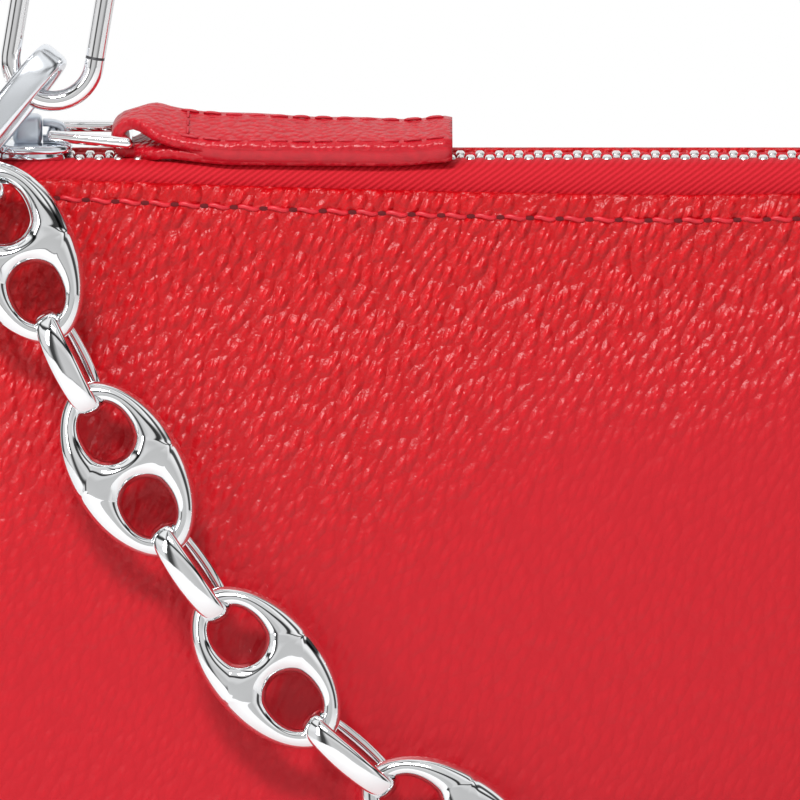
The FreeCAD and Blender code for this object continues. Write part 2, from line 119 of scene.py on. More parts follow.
def tube_faces(rows, columns, offset=0):
    """Faces of a tube of closed rows, with a flat cap on its first and its last row."""
    last = offset + (rows - 1) * columns
    caps = [tuple(range(offset, offset + columns))[::-1], tuple(range(last, last + columns))]
    return grid_faces(rows, columns, True, offset) + caps


def turned(faces):
    return [face[::-1] for face in faces]


def soften(obj, levels):
    """Round a coarse mesh by subdivision."""
    soft = obj.modifiers.new("soft", "SUBSURF")
    soft.levels = levels
    soft.render_levels = levels


def thicken(obj, thickness):
    """Give an open sheet its thickness, on the inner side."""
    thick = obj.modifiers.new("thickness", "SOLIDIFY")
    thick.thickness = thickness * MM
    thick.offset = -1


def strand(path, radius, verts, faces):
    """A small closed round strand through the points, added to verts and faces."""
    start = len(verts)
    sides = 8
    for i, point in enumerate(path):
        before, after = neighbours(path, i)
        ahead = Vector(after) - Vector(before)
        ahead.normalize()
        side = ahead.cross(Vector((0, 0, 1)))
        if side.length < 0.01:
            side = ahead.cross(Vector((0, 1, 0)))
        side.normalize()
        up = side.cross(ahead)
        r = radius * (0.55 if i in (0, len(path) - 1) else 1.0)
        for k in range(sides):
            a = circle_angle(k, sides)
            verts.append(tuple(Vector(point) + side * (r * math.cos(a)) + up * (r * math.sin(a))))
    faces += tube_faces(len(path), sides, start)


def knob(centre, radii, power, verts, faces):
    """A rounded block, added to verts and faces. A smaller power makes it squarer."""
    rows, columns = 7, 12
    start = len(verts)
    for r in range(1, rows):
        a = math.pi * r / rows - math.pi / 2
        ring, height = math.cos(a), math.sin(a)
        for c in range(columns):
            b = circle_angle(c, columns, 0.5)
            unit = (signed_power(q, power) for q in (ring * math.cos(b), ring * math.sin(b), height))
            verts.append(tuple(middle + radius * q for middle, radius, q in zip(centre, radii, unit)))
    faces += tube_faces(rows - 1, columns, start)


def rounded_slab(outline, low, high, edge, verts, faces):
    """A flat block over an (x, y) outline from low to high, with its rims turned over by edge."""
    start = len(verts)
    count = len(outline)
    cx = sum(p[0] for p in outline) / count
    cy = sum(p[1] for p in outline) / count
    levels = [(low, edge), (low + 0.3 * edge, 0.3 * edge), (low + edge, 0.0),
              (high - edge, 0.0), (high - 0.3 * edge, 0.3 * edge), (high, edge)]
    for z, inset in levels:
        for x, y in outline:
            length = math.hypot(x - cx, y - cy)
            verts.append((x - inset * (x - cx) / length, y - inset * (y - cy) / length, z))
    faces += tube_faces(len(levels), count, start)


# ---------------------------------------------------------------- materials
def node_material(name):
    material = bpy.data.materials.new(name)
    material.use_nodes = True
    tree = material.node_tree
    return material, tree, tree.nodes["Principled BSDF"]


def add(tree, kind, inputs=None, **settings):
    """A new node, with its settings and the starting values of its inputs."""
    node = tree.nodes.new(kind)
    for key, value in settings.items():
        setattr(node, key, value)
    for key, value in (inputs or {}).items():
        node.inputs[key].default_value = value
    return node


def coordinates(tree, turn=(0, 0, 0)):
    """The piece's own coordinates in metres, turned by angles about X, Y and Z."""
    source = add(tree, "ShaderNodeTexCoord")
    mapping = add(tree, "ShaderNodeMapping", {"Rotation": turn})
    tree.links.new(source.outputs["Object"], mapping.inputs["Vector"])
    return mapping.outputs["Vector"]


def noise(tree, scale, detail=2.0):
    node = add(tree, "ShaderNodeTexNoise", {"Scale": scale, "Detail": detail})
    tree.links.new(coordinates(tree), node.inputs["Vector"])
    return node.outputs["Fac"]


def maths(tree, operation, *values):
    """A sum or other operation on values that are each a number or another node's output."""
    node = add(tree, "ShaderNodeMath", operation=operation)
    for index, value in enumerate(values):
        if isinstance(value, (int, float)):
            node.inputs[index].default_value = value
        else:
            tree.links.new(value, node.inputs[index])
    return node.outputs[0]


def ramp(tree, value, stops):
    node = add(tree, "ShaderNodeValToRGB")
    while len(node.color_ramp.elements) < len(stops):
        node.color_ramp.elements.new(0.5)
    for element, (at, colour) in zip(node.color_ramp.elements, stops):
        element.position = at
        element.color = (*colour, 1)
    tree.links.new(value, node.inputs["Fac"])
    return node.outputs["Color"]


def bump(tree, shader, height, depth):
    """Dent the surface by height, which runs from 0 to about 1, times depth in metres."""
    node = add(tree, "ShaderNodeBump", {"Strength": 1.0, "Distance": depth})
    tree.links.new(height, node.inputs["Height"])
    tree.links.new(node.outputs["Normal"], shader.inputs["Normal"])


def mottle(tree, shader, scale, dark_share, stops, colour):
    """Let the colour vary a little between dark_share of itself and itself."""
    shades = (tuple(dark_share * c for c in colour), colour)
    tree.links.new(ramp(tree, noise(tree, scale), list(zip(stops, shades))), shader.inputs["Base Color"])


def grain_and_sheen_mask(tree):
    """How strong the grain is, and so where the painted sheen does not show: 1 towards the upper left,
    little lower down, with a ragged border.
    """
    source = add(tree, "ShaderNodeTexCoord")
    split = add(tree, "ShaderNodeSeparateXYZ")
    tree.links.new(source.outputs["Object"], split.inputs["Vector"])
    upper = maths(tree, "ADD", split.outputs["Z"], maths(tree, "MULTIPLY", noise(tree, 17.0), 0.062))
    upper = maths(tree, "ADD", upper, maths(tree, "MULTIPLY", split.outputs["X"], -0.13))
    limits = {"From Min": 0.112, "From Max": 0.158, "To Min": 0.22, "To Max": 1.0}
    strong = add(tree, "ShaderNodeMapRange", limits, interpolation_type="SMOOTHSTEP")
    tree.links.new(upper, strong.inputs["Value"])
    return strong.outputs["Result"]


def leather_material(name, dark, light, grain, depth, roughness, specular, sheen_colour=None):
    """Leather with about grain pebbles in a metre. The last colour, where given, is a painted sheen:
    the paler, pinker colour that shows where the grain dies out."""
    slant, stretch, smoothness = -0.43, 0.46, 0.35
    material, tree, shader = node_material(name)
    scaled = add(tree, "ShaderNodeMapping", {"Scale": (grain, grain, grain * stretch)})
    tree.links.new(coordinates(tree, (0.0, slant, 0.0)), scaled.inputs["Vector"])
    cells = add(tree, "ShaderNodeTexVoronoi", {"Scale": 1.0, "Smoothness": smoothness}, feature="SMOOTH_F1")
    tree.links.new(scaled.outputs["Vector"], cells.inputs["Vector"])
    pebbles = maths(tree, "SUBTRACT", 0.75, cells.outputs["Distance"])
    warp = maths(tree, "MULTIPLY", noise(tree, grain * 0.55, 3.0), 0.75)
    fine = maths(tree, "MULTIPLY", noise(tree, grain * 2.4), 0.08)
    height = maths(tree, "ADD", maths(tree, "ADD", pebbles, warp), fine)
    # painted shade in the creases between pebbles and painted light on their tops
    colour = ramp(tree, pebbles, [(0.15, dark), (0.6, light)])
    # lower down the colour blends towards the painted sheen colour
    if sheen_colour:
        mask = grain_and_sheen_mask(tree)
        height = maths(tree, "MULTIPLY", height, mask)
        blend = add(tree, "ShaderNodeMix", data_type="RGBA")
        blend.inputs["A"].default_value = (*sheen_colour, 1)
        tree.links.new(mask, blend.inputs["Factor"])
        tree.links.new(colour, blend.inputs["B"])
        colour = blend.outputs["Result"]
    bump(tree, shader, height, depth)
    tree.links.new(colour, shader.inputs["Base Color"])
    shader.inputs["Roughness"].default_value = roughness
    shader.inputs["Specular IOR Level"].default_value = specular
    return material


def twill_material(name, dark, light, pitch, depth, slant):
    """Cloth with fine slanted ribs, pitch metres apart."""
    material, tree, shader = node_material(name)
    pitch_at_scale_1 = 0.314
    inputs = {"Scale": pitch_at_scale_1 / pitch, "Distortion": 0.6, "Detail": 2.0, "Detail Scale": 3.0}
    ribs = add(tree, "ShaderNodeTexWave", inputs, wave_type="BANDS", bands_direction="X", wave_profile="SIN")
    tree.links.new(coordinates(tree, (0.0, slant, 0.0)), ribs.inputs["Vector"])
    bump(tree, shader, ribs.outputs["Fac"], depth)
    tree.links.new(ramp(tree, ribs.outputs["Fac"], [(0.1, dark), (0.8, light)]), shader.inputs["Base Color"])
    shader.inputs["Roughness"].default_value = 0.75
    shader.inputs["Specular IOR Level"].default_value = 0.25
    return material


def metal_material(name, colour, roughness):
    material, tree, shader = node_material(name)
    mottle(tree, shader, 60.0, 0.97, (0.2, 0.8), colour)
    shader.inputs["Metallic"].default_value = 1.0
    shader.inputs["Roughness"].default_value = roughness
    return material


def plain_material(name, colour, roughness):
    material, tree, shader = node_material(name)
    mottle(tree, shader, 900.0, 0.8, (0.3, 0.7), colour)
    shader.inputs["Roughness"].default_value = roughness
    return material


# the red leather's last colour is its painted sheen, shown lower down where the grain fades
LEATHER = leather_material("red_leather", dark=(0.47, 0.001, 0.004), light=(0.63, 0.001, 0.006), grain=980.0,
                           depth=0.00074, roughness=0.34, specular=0.34, sheen_colour=(0.485, 0.007, 0.017))
TAB_LEATHER = leather_material("pull_leather_red", dark=(0.46, 0.003, 0.012), light=(0.54, 0.005, 0.016),
                               grain=1300.0, depth=0.00022, roughness=0.33, specular=0.4)
TAPE = twill_material("red_twill", dark=(0.43, 0.002, 0.008), light=(0.57, 0.008, 0.020), pitch=0.00062,
                      depth=0.00006, slant=-0.95)
LINING = twill_material("lining_twill", dark=(0.16, 0.006, 0.012), light=(0.30, 0.014, 0.024), pitch=0.0009,
                        depth=0.00005, slant=0.78)
THREAD = plain_material("thread", (0.66, 0.010, 0.024), 0.42)
# painted shade: the dark inside of the needle holes
HOLE = plain_material("needle_hole_shade", (0.13, 0.001, 0.004), 0.9)
CHROME = metal_material("chain_chrome", (0.86, 0.87, 0.88), 0.05)
HARDWARE = metal_material("hardware_chrome", (0.92, 0.92, 0.93), 0.05)
SLIDER = metal_material("slider_chrome", (0.76, 0.80, 0.85), 0.08)
CLIP = metal_material("clip_ring_steel", (0.84, 0.87, 0.91), 0.20)
CROWN = metal_material("slider_crown_steel", (0.62, 0.67, 0.74), 0.33)
# painted shade for the gap under the carabiner's gate
GAP = plain_material("shadowed_steel", (0.05, 0.05, 0.055), 0.4)
TEETH = metal_material("tooth_metal", (0.80, 0.79, 0.78), 0.22)
BOARD = plain_material("fibre_board", (0.55, 0.45, 0.35), 0.8)
EDGE_PAINT = plain_material("edge_paint", (0.55, 0.004, 0.016), 0.28)
TAB_THREAD = plain_material("tab_thread", (0.52, 0.012, 0.026), 0.5)

# ---------------------------------------------------------------- leather shell
# (height, y) points of the front's and the back's outside, half way across the bag
FRONT = [(0.0, -22.5), (8.0, -22.9), (20.0, -23.3), (40.0, -20.0), (60.0, -16.5), (80.0, -14.2),
         (96.0, -12.1), (108.0, -9.9), (117.0, -8.0), (121.5, -7.55), (124.5, -7.35), (128.4, -6.7)]
BACK = [(0.0, 22.5), (8.0, 22.9), (20.0, 23.3), (40.0, 20.0), (60.0, 17.0), (80.0, 14.7), (96.0, 12.3),
        (108.0, 10.4), (117.0, 9.1), (124.0, 8.1), (131.0, 6.7)]
BASE_HALF_WIDTH = 98.0
TOP_HALF_WIDTH = 90.0
TOP_Z = 126.6
FRONT_TOP = 126.3              # in the middle of the front edge
FRONT_TOP_RISE = 1.8           # and how much higher the edge is at its ends
GUSSET_TOP = 124.3
BACK_TOP = 130.7
BACK_STITCH_DROP = 3.0
EDGE_RADIUS = 2.6              # of the bottom edge
CORNER_RADIUS = 4.2
SEAM_DEPTH = 0.45
SEAM_ANGLE = 0.85              # where the seam runs down the rounded corner
SAG_DEPTH = 0.55
FRONT_SEED = 0.6
BACK_SEED = 2.3
PANEL_COLUMNS = 150
GUSSET_COLUMNS = 12
CORNER_COLUMNS = 7
LEATHER_THICKNESS = 1.55


def half_width(z):
    return BASE_HALF_WIDTH - (BASE_HALF_WIDTH - TOP_HALF_WIDTH) * z / TOP_Z


def panel_top(sign, x):
    """Height of the front's (sign -1) or the back's top edge. The front's rises towards its ends."""
    return FRONT_TOP + FRONT_TOP_RISE * min(abs(x) / 76.0, 1.05) ** 1.5 if sign < 0 else BACK_TOP


def stitch_line(sign, x):
    """Height of the top stitching, which in front comes nearer the edge towards the ends."""
    if sign > 0:
        return BACK_TOP - BACK_STITCH_DROP
    return panel_top(sign, x) - 2.55 + 0.85 * min(abs(x) / 77.0, 1.1) ** 1.5


def sag(x, z, seed):
    """How far the leather stands inside its flat place: slow dents, none at the seams."""
    broad = 0.5 + 0.5 * math.sin(x / 27.0 + seed) * math.sin(z / 23.0 + 0.7 * seed)
    slanted = 0.35 + 0.35 * math.sin((x + 0.8 * z) / 17.0 + 2.1 * seed)
    hold = smooth(0, 22, z) * (1 - smooth(108, 122, z))
    return SAG_DEPTH * (broad + slanted) * hold


def gusset_pinch(z, across):
    """How far the gusset folds inwards at height z; across runs from 0 in front to 1 at the back."""
    fold = 3.6 * smooth(30, 100, z) + 1.4 * smooth(100, 124, z)
    return fold * math.sin(math.pi * across) ** 1.5


def panel_row(sign, t, half, radius, inset, rounding):
    """Points across the front (sign -1, left to right) or the back (sign 1, right to left)."""
    profile, seed = (FRONT, FRONT_SEED) if sign < 0 else (BACK, BACK_SEED)
    row = []
    for i in range(PANEL_COLUMNS):
        x = sign * (1 - 2 * i / (PANEL_COLUMNS - 1)) * (half - radius)
        z = t * panel_top(sign, x)
        groove = 0.22 * math.exp(-((z - stitch_line(sign, x)) / 0.55) ** 2)
        y = through(profile, z) - sign * sag(x, z, seed) - sign * groove - sign * inset - sign * rounding
        row.append((x * (1 - inset / half), y, z))
    return row


def side_row(t, half, radius, inset, rounding):
    """Points round the right side: front corner, gusset, back corner."""
    z = t * TOP_Z
    front = through(FRONT, z) + rounding
    back = through(BACK, z) - rounding

    def corner(centre_y, sign, angle):
        reach = radius - SEAM_DEPTH * math.exp(-((angle - SEAM_ANGLE) / 0.22) ** 2)
        return half - radius + reach * math.sin(angle), centre_y + sign * reach * math.cos(angle)

    steps = [i / CORNER_COLUMNS for i in range(1, CORNER_COLUMNS)]
    # the third value leans from 1 at the front panel to -1 at the back panel, with 0 on the gusset
    arc = [(*corner(front + radius, -1, math.pi / 2 * step), 1 - step) for step in steps]
    for i in range(GUSSET_COLUMNS):
        across = i / (GUSSET_COLUMNS - 1)
        y = front + radius + (back - front - 2 * radius) * across
        arc.append((half - gusset_pinch(z, across), y, 0.0))
    arc += [(*corner(back - radius, 1, math.pi / 2 * (1 - step)), -step) for step in steps]

    middle = 0.5 * (front + back)
    half_depth = max(1.0, 0.5 * (through(BACK, z) - through(FRONT, z)))
    row = []
    for x, y, lean in arc:
        panel = panel_top(-1, half) if lean > 0 else BACK_TOP
        top = GUSSET_TOP + (panel - GUSSET_TOP) * lean ** 2
        row.append((x - rounding - inset, y - inset * clamp((y - middle) / half_depth, -1, 1), t * top))
    return row


def section(t, inset):
    """One closed loop of the bag, inset from its outside, at t (0 base, 1 top edge)."""
    z = t * TOP_Z
    half = half_width(z)
    radius = min(CORNER_RADIUS, 0.3 * (through(BACK, z) - through(FRONT, z)))
    rounding = 0.0
    if z < EDGE_RADIUS:
        rounding = EDGE_RADIUS - math.sqrt(max(0.0, EDGE_RADIUS ** 2 - (EDGE_RADIUS - z) ** 2))
    shape = (t, half, radius, inset, rounding)
    right = side_row(*shape)
    left = [(-x, y, z) for x, y, z in right[::-1]]
    return panel_row(-1, *shape) + right + panel_row(1, *shape) + left


def shell_levels():
    """The loops' places t, closer together round the bottom edge and near the top stitching."""
    levels = []
    z = 0.0
    while z < TOP_Z:
        levels.append(z / TOP_Z)
        if z < EDGE_RADIUS:
            z += 0.4
        elif z < 116:
            z += 1.9
        else:
            z += 0.33
    return levels + [1.0]


def build_shell():
    """The leather from its base up the outside, over the top edge and a little way down inside."""
    loops = [section(t, 0.0) for t in shell_levels()]
    for inset, lift in ((0.18, 0.38), (0.55, 0.62), (1.0, 0.62), (1.4, 0.35)):
        loops.append([(x, y, z + lift) for x, y, z in section(1.0, inset)])
    loops += [section(t, LEATHER_THICKNESS) for t in (0.997, 0.98, 0.95, 0.9, 0.86)]
    columns = len(loops[0])
    base = tuple(range(columns))[::-1]
    faces = grid_faces(len(loops), columns, True) + [base]
    obj = make_object("leather_shell", [p for loop in loops for p in loop], faces, LEATHER)
    finish_piece(obj, "bag", "leather", "front_panel", "back_panel", "side_gusset_left",
                 "side_gusset_right", "base_panel")


def build_lining():
    """The cloth bag inside the leather, as a closed wall."""
    low, top, steps = 4.4, 118.0, 40
    levels = [low / TOP_Z + (top - low) / TOP_Z * i / steps for i in range(steps + 1)]
    loops = [section(t, 2.0) for t in levels]
    loops += [section(t, 2.45) for t in levels[::-1]]
    faces = tube_faces(len(loops), len(loops[0]))
    obj = make_object("lining_bag", [p for loop in loops for p in loop], faces, LINING)
    finish_piece(obj, "bag", "lining", "lining_front", "lining_back", "lining_side_left",
                 "lining_side_right", "lining_base")


def build_pocket():
    """The slip pocket on the back lining, with a thicker hem along its top."""
    rows, columns = 30, 40
    low, height, half = 38, 58, 55
    verts = []
    for inset, hem in ((2.9, 0.0), (3.6, 0.5)):
        for r in range(rows):
            z = low + height * r / (rows - 1)
            for c in range(columns):
                x = -half + 2 * half * c / (columns - 1)
                y = through(BACK, z) - sag(x, z, BACK_SEED) - inset - hem * smooth(91, 92, z)
                verts.append((x, y, z))
    shift = rows * columns
    faces = grid_faces(rows, columns, False) + turned(grid_faces(rows, columns, False, shift))
    rim = list(range(columns)) + [r * columns + columns - 1 for r in range(1, rows)]
    rim += [(rows - 1) * columns + c for c in range(columns - 2, -1, -1)]
    rim += [r * columns for r in range(rows - 2, 0, -1)]
    faces += [(a, b, b + shift, a + shift) for a, b in zip(rim, rim[1:] + rim[:1])]
    pocket = make_object("slip_pocket_sheet", verts, faces, LINING)
    finish_piece(pocket, "bag", "lining", "slip_pocket")


# ---------------------------------------------------------------- top stitching
STITCH_PITCH = 3.78
STITCH_GAP = 0.35              # from a needle hole to where the thread comes up
STITCHES_EACH_SIDE = 22


def on_stitch_line(sign, x):
    """The stitching's point at x, just under the leather's surface."""
    z = stitch_line(sign, x)
    return Vector((x, through(FRONT if sign < 0 else BACK, z) - sign * 0.20, z))


def top_stitch(sign, hole_x):
    """Points of one stitch, which bows outwards and twists a little up and down."""
    path = []
    for k in range(7):
        along = k / 6
        p = on_stitch_line(sign, hole_x + STITCH_GAP + (STITCH_PITCH - 2 * STITCH_GAP) * along)
        p.y += sign * (0.30 * math.sin(math.pi * along) - 0.14)
        p.z += 0.16 * math.sin(2 * math.pi * along)
        path.append(tuple(p))
    return path


def needle_hole(sign, hole_x, verts, faces):
    """A dark oval spot with a raised middle, painted shade for the needle hole's recess, added to verts and
    faces.
    """
    middle = on_stitch_line(sign, hole_x)
    start, sides = len(verts), 10
    for radius, lift in ((0.55, 0.12), (0.30, 0.16)):
        for k in range(sides):
            a = circle_angle(k, sides)
            verts.append((middle.x + 1.1 * radius * math.cos(a), middle.y + sign * lift,
                          middle.z + 0.55 * radius * math.sin(a)))
    faces += grid_faces(2, sides, True, start)
    faces.append(tuple(range(start + sides, start + 2 * sides)))


def build_stitching():
    for name, sign in (("front", -1), ("back", 1)):
        threads, thread_faces, holes, hole_faces = [], [], [], []
        for i in range(-STITCHES_EACH_SIDE, STITCHES_EACH_SIDE + 1):
            strand(top_stitch(sign, i * STITCH_PITCH), 0.31, threads, thread_faces)
            needle_hole(sign, i * STITCH_PITCH, holes, hole_faces)
        thread = make_object("top_stitching_" + name, threads, thread_faces, THREAD)
        finish_piece(thread, "bag", "leather")
        hole = make_object("needle_holes_" + name, holes, hole_faces, HOLE)
        finish_piece(hole, "bag", "leather")


# ---------------------------------------------------------------- zip tape
TAPE_REACH = 88.0              # from the bag's middle to the ends of the tapes
TAPE_TOP = 130.6


def build_tape(name, sign):
    """One tape, from inside the leather up and over to the teeth. The front one stands upright first."""
    columns = 160
    sheets = []
    for c in range(columns):
        x = -TAPE_REACH + 2 * TAPE_REACH * c / (columns - 1)
        edge = panel_top(sign, x)
        inner = abs(through(FRONT if sign < 0 else BACK, edge)) - 1.85
        ripple = 0.10 * math.sin(x / 3.1) + 0.07 * math.sin(x / 1.37 + 1.0)
        if sign < 0:
            outline = [(inner - 0.3, 117.5), (inner - 0.15, 122.0), (inner, edge - 1.0),
                       (inner + 0.05, edge + 0.6), (inner + 0.05 + ripple * 0.3, 129.2),
                       (4.55, 130.2 + ripple * 0.4), (3.2, 130.5), (1.0, TAPE_TOP)]
        else:
            outline = [(inner - 0.2, 117.5), (inner, 124.0), (inner, 128.8), (inner - 0.5, 130.1),
                       (inner - 1.4, 130.5), (2.6, TAPE_TOP), (1.6, TAPE_TOP), (1.0, TAPE_TOP)]
        sheets.append([(x, sign * y, z) for y, z in outline])
    faces = grid_faces(columns, len(sheets[0]), False)
    if sign > 0:
        faces = turned(faces)
    obj = make_object("tape_" + name, [p for row in sheets for p in row], faces, TAPE)
    thicken(obj, 0.55)
    soften(obj, 1)
    finish_piece(obj, "bag", "zip_tape", "zip_tape_" + name)


def build_tape_ends():
    """The ends of the tapes, turned down inside the gussets."""
    rows, columns = 10, 13
    for name, sign in (("left", -1), ("right", 1)):
        verts = []
        for j in range(rows):
            t = j / (rows - 1)
            z = TAPE_TOP - 11.6 * t
            front = through(FRONT, min(z, 126.0)) + 1.9
            back = through(BACK, min(z, 126.0)) - 1.9
            for i in range(columns):
                across = i / (columns - 1)
                lower_end = half_width(z) - gusset_pinch(z, across) - 2.1
                x = TAPE_REACH + (lower_end - TAPE_REACH) * smooth(0.18, 0.62, t)
                verts.append((sign * x, front + (back - front) * across, z))
        faces = grid_faces(rows, columns, False)
        if sign < 0:
            faces = turned(faces)
        obj = make_object("tape_end_" + name, verts, faces, TAPE)
        thicken(obj, 0.5)
        finish_piece(obj, "bag", "zip_tape")


# ---------------------------------------------------------------- zip pull
PULL_END_X = -28.8
PULL_FOLD_X = -70.6            # where the strip turns back round the bail
PULL_FOLD_HALF = 1.75          # half the gap between the strip's plies there
PULL_Z = 133.8
CORE_START_X = -63.6
CORE_END_X = -28.9
SEAM_START_X = -63.5


def strip(name, path, half_widths, half_thickness, to_world, material):
    """A leather strip swept along a path of (u, w) points; its width runs along the third axis."""
    sides, squareness = 16, 2 / 5.0
    ring = []
    for k in range(sides):
        a = circle_angle(k, sides, 0.5)
        ring.append((signed_power(math.cos(a), squareness), signed_power(math.sin(a), squareness)))
    verts = []
    for i, (u, w) in enumerate(path):
        before, after = neighbours(path, i)
        du, dw = after[0] - before[0], after[1] - before[1]
        length = math.hypot(du, dw)
        nu, nw = -dw / length, du / length
        at_end = i in (0, len(path) - 1)
        thickness = half_thickness * (0.75 if at_end else 1.0)
        width = half_widths[i] * (0.97 if at_end else 1)
        for across, out in ring:
            verts.append(to_world(u + nu * out * thickness, across * width, w + nw * out * thickness))
    return make_object(name, verts, tube_faces(len(path), sides), material)


def pull_half_gap(x):
    """Half the height between the two plies' middles, which opens towards the bail."""
    return 0.80 + 0.95 * (1 - smooth(-69.4, -64.6, x))


def pull_half_width(x):
    return 2.3 + 2.25 * smooth(-70.2, -66.6, x)


def pull_twist(x):
    """How far the pull is twisted at x: most beside the bail, not at all towards its end."""
    return smooth(-70.8, -65.5, x) * clamp((-34.0 - x) / 31.5, 0.0, 1.0)


def pull_crest(x):
    """The bulge of the upper ply over the bail."""
    return 0.40 * smooth(-71.5, -69.5, x) * (1 - smooth(-68.0, -62.0, x))


def pull_lift(x):
    """How far the pull rises along its length: a slight dip, a turned-up end, and more where it twists."""
    return -0.15 * smooth(-70, -55, x) + 0.55 * smooth(-40, -28.8, x) ** 2 + 0.72 * pull_twist(x)


def pull_point(u, v, w):
    """From u along the pull, v across it and w off its middle to the bag's axes."""
    settle = smooth(-71, -56, u)
    roll = math.radians(10 + 5 * settle + 9.0 * pull_twist(u))
    off = w - 0.22 * (v / 4.5) ** 2
    y = v * math.cos(roll) - off * math.sin(roll)
    z = v * math.sin(roll) + off * math.cos(roll)
    return (u, y - 2.1 * settle, PULL_Z + pull_lift(u) + z - 0.45 * settle)


def pull_stitch(start, end, lift, bow, verts, faces):
    """One stitch on the upper ply, from start to end, both (u, v)."""
    line = []
    for k in range(6):
        u = start[0] + (end[0] - start[0]) * k / 5
        v = start[1] + (end[1] - start[1]) * k / 5
        w = pull_half_gap(u) + pull_crest(u) + lift + bow * math.sin(math.pi * k / 5)
        line.append(pull_point(u, v, w))
    strand(line, 0.19, verts, faces)


def build_pull_tab():
    """The folded strip, its painted edge between the plies, and the stitching round it."""
    steps, fold_steps = 46, 12
    length = PULL_END_X - PULL_FOLD_X
    path = []
    for i in range(steps):
        x = PULL_END_X - length * i / (steps - 1)
        path.append((x, -pull_half_gap(x)))
    for k in range(1, fold_steps):
        a = math.pi * k / fold_steps
        path.append((PULL_FOLD_X - 1.05 * math.sin(a), -PULL_FOLD_HALF * math.cos(a)))
    for i in range(steps):
        x = PULL_FOLD_X + length * i / (steps - 1)
        ripple = 0.1 * math.sin(x / 2.3) * smooth(-66, -60, x) * (1 - smooth(-34, -29, x))
        path.append((x, pull_half_gap(x) + ripple + pull_crest(x)))
    half_widths = [pull_half_width(x) for x, w in path]
    tab = strip("pull_tab_leather", path, half_widths, 0.84, pull_point, TAB_LEATHER)
    finish_piece(tab, "pull", "pull_leather", "pull_tab")

    core_path = [(CORE_START_X + (CORE_END_X - CORE_START_X) * i / 40, 0.0) for i in range(41)]
    core_widths = [3.9 + 0.68 * smooth(-63.6, -60.5, u) for u, w in core_path]
    core = strip("pull_tab_painted_edge", core_path, core_widths, 1.52, pull_point, EDGE_PAINT)
    finish_piece(core, "pull", "pull_leather")

    threads, thread_faces = [], []
    for v in (-3.45, 3.3):
        for i in range(12):
            u = SEAM_START_X + 2.85 * i
            pull_stitch((u, v), (u + 2.25, v), 0.80, 0.12, threads, thread_faces)
    for i in range(3):
        u, v = SEAM_START_X + 0.9, -2.9 + 2.1 * i
        pull_stitch((u, v), (u, v + 1.7), 0.87, 0.11, threads, thread_faces)
    stitches = make_object("pull_tab_stitching", threads, thread_faces, TAB_THREAD)
    finish_piece(stitches, "pull", "pull_leather")


# ---------------------------------------------------------------- ring tabs
RING_BAR_X = 98.50
RING_BAR_Z = 138.35
RING_BAR_TURN = 1.75           # from the bar's middle to the middle of the strip round it
RING_TAB_Y = -7.4
SEWN_HEIGHTS = (104.2, 107.0, 110.0, 113.0)


def build_ring_tabs():
    """Each tab climbs from the gusset, turns round the ring's bar and comes down outside itself."""
    path = [(half_width(z) + 0.70, z) for z in SEWN_HEIGHTS]
    path += [(half_width(117) + 1.0, 117.0), (93.6, 122.0), (95.1, 127.0), (96.2, 132.0), (96.75, 136.0)]
    for k in range(1, 10):
        a = math.pi * (1.05 - 1.10 * k / 10)
        path.append((RING_BAR_X + RING_BAR_TURN * math.cos(a), RING_BAR_Z + RING_BAR_TURN * math.sin(a)))
    path += [(100.15, 136.0), (99.3, 132.0), (97.6, 127.0), (95.6, 122.0), (half_width(117) + 2.4, 117.0)]
    path += [(half_width(z) + 1.9, z) for z in SEWN_HEIGHTS[::-1]]
    fine = []
    for (a, b), (c, d) in zip(path, path[1:]):
        fine += [(a, b), ((a + c) / 2, (b + d) / 2)]
    fine.append(path[-1])
    half_widths = [2.25 - 0.85 * smooth(116, 129, w) for u, w in fine]

    # the right tab leans forward, clear of the pull at the end of its travel
    for name, sign, forward in (("left", -1, 0.0), ("right", 1, 0.95)):
        def to_world(u, v, w, sign=sign, forward=forward):
            return (sign * u, RING_TAB_Y - forward * smooth(116, 129, w) + v, w)

        tab = strip("ring_tab_strip_" + name, fine, half_widths, 0.58, to_world, TAB_LEATHER)
        if sign < 0:
            tab.data.flip_normals()
        finish_piece(tab, "bag", "pull_leather", "ring_tab_" + name)


# ---------------------------------------------------------------- chain
LEAN = math.atan((-8.9 + 23.5) / 97.0)  # of the front, and so of the chain's plane
LOW_POINT = Vector((0.0, -25.486, 40.4))  # the middle of the lowest link
CATENARY = 53.2
PAIR = 30.8                    # one link and one ring, along the chain

LINK_HALF_LENGTH = 12.7
LINK_HALF_WIDTH = 7.5
HOLE_CENTRE = 5.55
HOLE_HALF_LENGTH = 3.75
HOLE_HALF_WIDTH = 3.0
HOLE_POWER = 2.3
# from the hole's rim (0) to the link's edge (1), closest where the surface curves most
LINK_SHARES = (0.0, 0.10, 0.32, 0.68, 0.92, 1.0)


def chain_matrix(arc):
    """Where a link lies whose middle is arc along the hanging chain from its lowest point."""
    x = CATENARY * math.asinh(arc / CATENARY)
    height = math.sqrt(CATENARY ** 2 + arc ** 2) - CATENARY
    turn = Matrix.Rotation(math.atan(arc / CATENARY), 4, "Z")
    flat = Matrix.Translation((x, height, 0)) @ turn
    return Matrix.Translation(LOW_POINT) @ Matrix.Rotation(math.pi / 2 - LEAN, 4, "X") @ flat


def link_half_width(u):
    """Half the width of the link's pointed oval at u along its length."""
    return LINK_HALF_WIDTH * clamp(1 - (abs(u) / LINK_HALF_LENGTH) ** 2.05, 0.0, 1.0) ** 0.60


def from_hole(r, angle):
    return HOLE_CENTRE + r * math.cos(angle), r * math.sin(angle)


def hole_radius(angle):
    c, s = abs(math.cos(angle)), abs(math.sin(angle))
    return ((c / HOLE_HALF_LENGTH) ** HOLE_POWER + (s / HOLE_HALF_WIDTH) ** HOLE_POWER) ** (-1 / HOLE_POWER)


